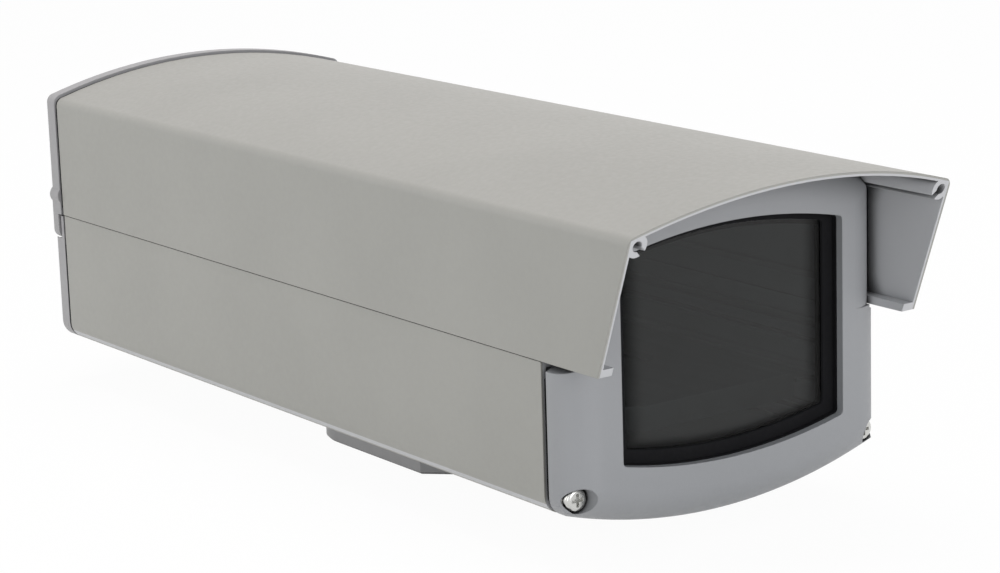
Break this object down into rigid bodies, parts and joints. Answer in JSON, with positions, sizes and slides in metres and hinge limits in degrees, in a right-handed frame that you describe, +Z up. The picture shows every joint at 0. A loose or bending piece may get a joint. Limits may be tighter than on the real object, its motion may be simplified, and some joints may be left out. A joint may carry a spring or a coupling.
{
  "type": "security camera housing",
  "caption": "Weatherproof camera housing: extruded base with belly foot, sliding arched cover with a slanted sun visor, cast window bezel, sled inside and cable glands behind",
  "frame": {"origin": "centre of the mounting foot's underside", "axes": "the window faces -Y, +X is right for someone looking at the window, +Z is up"},
  "size_m": [0.1634, 0.4708, 0.1511],
  "materials": {
    "cover_paint": "light grey powder coat, satin",
    "base_paint": "light grey powder coat, satin",
    "bezel_paint": "cool grey powder coat, satin",
    "cast_paint": "cool grey powder coat, satin",
    "stainless": "bright stainless steel",
    "brass": "plain brass",
    "rubber": "black rubber",
    "black_paint": "matt black paint",
    "window_glass": "clear float glass",
    "sled_metal": "plain aluminium sheet",
    "black_plastic": "black plastic",
    "gland_plastic": "dark grey nylon",
    "nylon": "natural nylon",
    "board": "green circuit board",
    "terminal_plastic": "green moulded terminal block"
  },
  "bodies": {
    "base": {"base_shell": "base_paint", "front_bezel": "bezel_paint", "bezel_gasket": "rubber", "bezel_rim_seal": "rubber", "bezel_screws": "stainless", "bezel_washers": "stainless", "window_gasket": "rubber", "window_glass": "window_glass", "window_retainer": "black_paint", "retainer_screws": "stainless", "closing_inserts": "brass", "rear_plate": "cast_paint", "rear_plate_screws": "stainless", "rear_plate_gasket": "rubber", "cap_seal": "rubber", "mounting_foot": "cast_paint", "foot_screws": "stainless", "foot_washers": "stainless", "terminal_board": "board", "board_spacers": "nylon", "board_screws": "stainless", "terminal_block": "terminal_plastic", "terminal_screws": "stainless", "gland_body_left": "gland_plastic", "gland_ring_left": "rubber", "gland_seal_left": "rubber", "gland_nut_left": "gland_plastic", "gland_locknut_left": "gland_plastic", "gland_body_middle": "gland_plastic", "gland_ring_middle": "rubber", "gland_seal_middle": "rubber", "gland_nut_middle": "gland_plastic", "gland_locknut_middle": "gland_plastic", "gland_body_right": "gland_plastic", "gland_ring_right": "rubber", "gland_seal_right": "rubber", "gland_nut_right": "gland_plastic", "gland_locknut_right": "gland_plastic"},
    "cover": {"cover_shell": "cover_paint", "cover_end_cap": "cast_paint", "end_cap_gasket": "rubber", "end_cap_screws": "stainless"},
    "closing_screw_left": {"closing_screw_left": "stainless"},
    "closing_screw_right": {"closing_screw_right": "stainless"},
    "sled": {"camera_sled": "sled_metal", "sled_clamp": "sled_metal"},
    "sled_knob": {"sled_knob": "stainless"},
    "camera_mount": {"camera_screw": "stainless", "camera_screw_washer": "stainless", "camera_pad": "black_plastic"}
  },
  "joints": [
    {"name": "cover_slide", "type": "slide", "parent": "base", "child": "cover", "axis": [0, 1, 0], "range_m": [0, 0.25]},
    {"name": "closing_screw_left_out", "type": "slide", "parent": "cover", "child": "closing_screw_left", "axis": [0, 1, 0], "range_m": [0, 0.0068]},
    {"name": "closing_screw_right_out", "type": "slide", "parent": "cover", "child": "closing_screw_right", "axis": [0, 1, 0], "range_m": [0, 0.0068]},
    {"name": "sled_slide", "type": "slide", "parent": "base", "child": "sled", "axis": [0, 1, 0], "range_m": [-0.012, 0.06]},
    {"name": "sled_knob_turn", "type": "hinge", "parent": "sled", "child": "sled_knob", "pos_m": [0.0606, 0.02, 0.0505], "axis": [0, 0, 1], "range_deg": [0, 360]},
    {"name": "camera_mount_slide", "type": "slide", "parent": "sled", "child": "camera_mount", "axis": [0, 1, 0], "range_m": [-0.035, 0.035]}
  ]
}
